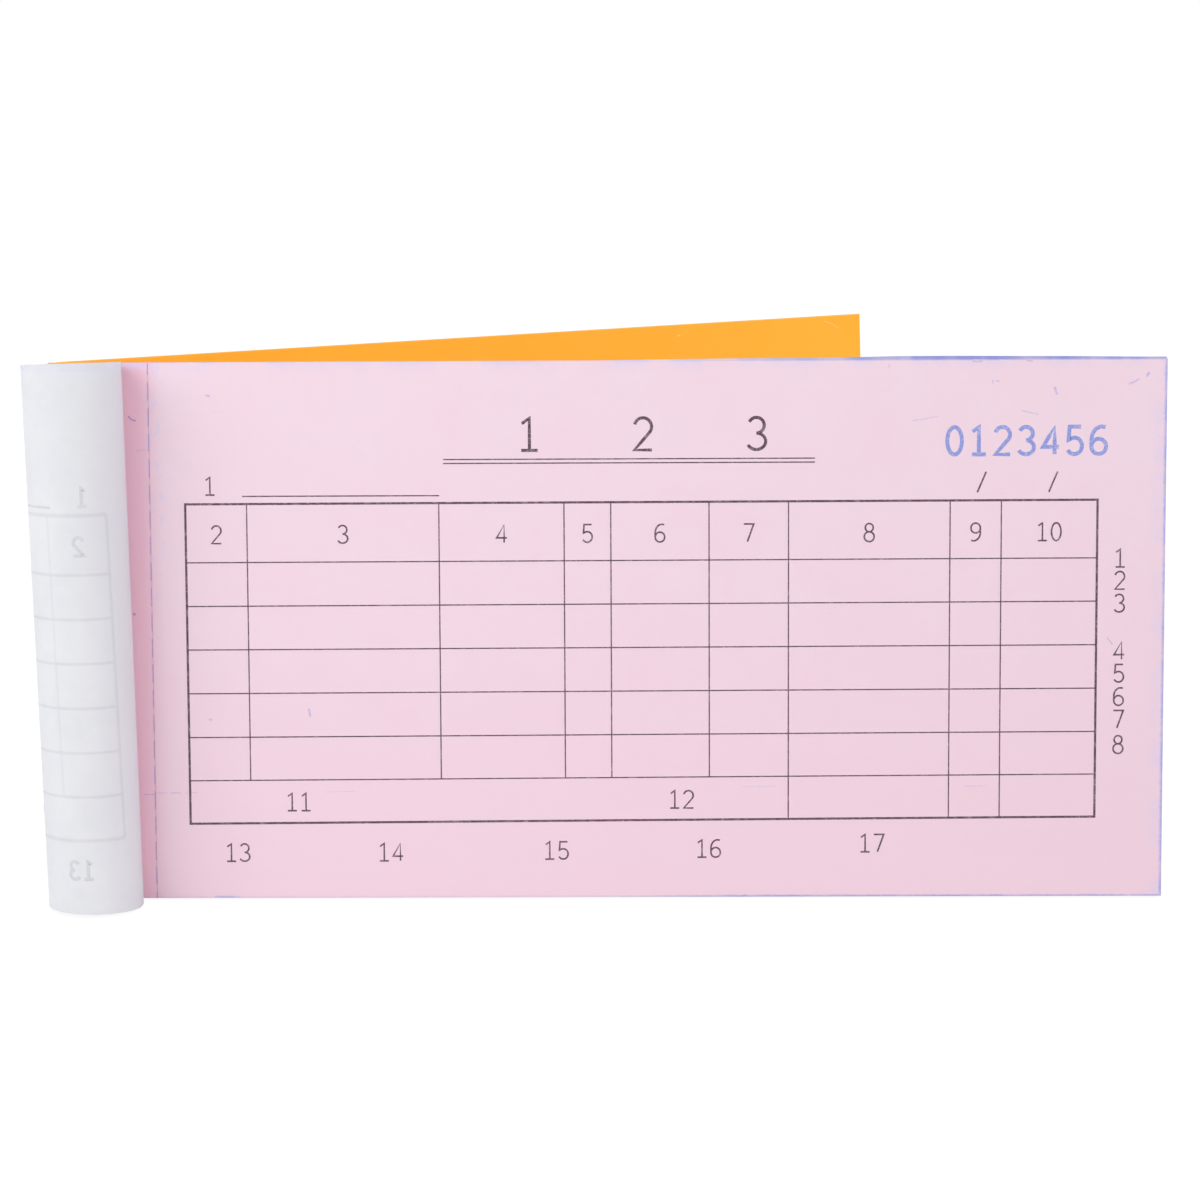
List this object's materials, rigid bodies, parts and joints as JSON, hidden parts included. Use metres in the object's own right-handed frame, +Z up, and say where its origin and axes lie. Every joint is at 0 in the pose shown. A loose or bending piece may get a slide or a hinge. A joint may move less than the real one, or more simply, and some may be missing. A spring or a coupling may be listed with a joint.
{
  "type": "warehouse receipt book",
  "caption": "Stapled receipt book of perforated form leaves, standing on its long edge with the first leaf rolled over the spine and the cover splayed behind as a prop.",
  "frame": {"origin": "middle of the standing book's box, on the table it stands on", "axes": "+X along the pad from the bound edge to the free edge, +Y from the front of the pad to its back, +Z up"},
  "size_m": [0.1788, 0.1222, 0.0857],
  "materials": {
    "orange_card": "matt dyed card",
    "white_paper": "uncoated carbonless paper",
    "pink_paper": "uncoated carbonless paper",
    "staple_wire": "galvanised flat wire"
  },
  "bodies": {
    "pad": {"cover_strip": "orange_card", "first_leaf_roll": "white_paper", "second_leaf_stub": "pink_paper", "third_leaf_stub": "white_paper", "leaf_04": "pink_paper", "leaf_05": "white_paper", "leaf_06": "pink_paper", "leaf_07": "white_paper", "leaf_08": "pink_paper", "leaf_09": "white_paper", "leaf_10": "pink_paper", "leaf_11": "white_paper", "leaf_12": "pink_paper", "leaf_13": "white_paper", "leaf_14": "pink_paper", "leaf_15": "white_paper", "leaf_16": "pink_paper", "leaf_17": "white_paper", "leaf_18": "pink_paper", "leaf_19": "white_paper", "leaf_20": "pink_paper", "leaf_21": "white_paper", "leaf_22": "pink_paper", "leaf_23": "white_paper", "leaf_24": "pink_paper", "leaf_25": "white_paper", "leaf_26": "pink_paper", "leaf_27": "white_paper", "leaf_28": "pink_paper", "leaf_29": "white_paper", "leaf_30": "pink_paper", "leaf_31": "white_paper", "leaf_32": "pink_paper", "leaf_33": "white_paper", "leaf_34": "pink_paper", "leaf_35": "white_paper", "leaf_36": "pink_paper", "leaf_37": "white_paper", "leaf_38": "pink_paper", "leaf_39": "white_paper", "leaf_40": "pink_paper", "leaf_41": "white_paper", "leaf_42": "pink_paper", "leaf_43": "white_paper", "leaf_44": "pink_paper", "leaf_45": "white_paper", "leaf_46": "pink_paper", "leaf_47": "white_paper", "leaf_48": "pink_paper", "leaf_49": "white_paper", "leaf_50": "pink_paper", "back_cover": "orange_card", "staple_low": "staple_wire", "staple_high": "staple_wire"},
    "cover": {"cover_panel": "orange_card"},
    "first_leaf": {"first_leaf_tail": "white_paper"},
    "third_leaf": {"third_leaf_sheet": "white_paper"},
    "second_leaf": {"second_leaf_sheet": "pink_paper"}
  },
  "joints": [
    {"name": "cover_turn", "type": "hinge", "parent": "pad", "child": "cover", "pos_m": [-0.08583, -0.04453, -0.00001], "axis": [0, 0.0541, 0.9985], "range_deg": [-31, 28]},
    {"name": "first_leaf_lift", "type": "hinge", "parent": "cover", "child": "first_leaf", "pos_m": [-0.08583, -0.04453, -0.00001], "axis": [0, 0.0541, 0.9985], "range_deg": [0, 25]},
    {"name": "third_leaf_turn", "type": "hinge", "parent": "pad", "child": "third_leaf", "pos_m": [-0.07033, -0.04935, 0.00025], "axis": [0, -0.0541, -0.9985], "range_deg": [0, 45]},
    {"name": "second_leaf_turn", "type": "hinge", "parent": "third_leaf", "child": "second_leaf", "pos_m": [-0.07033, -0.04944, 0.00025], "axis": [0, -0.0541, -0.9985], "range_deg": [0, 50]}
  ]
}
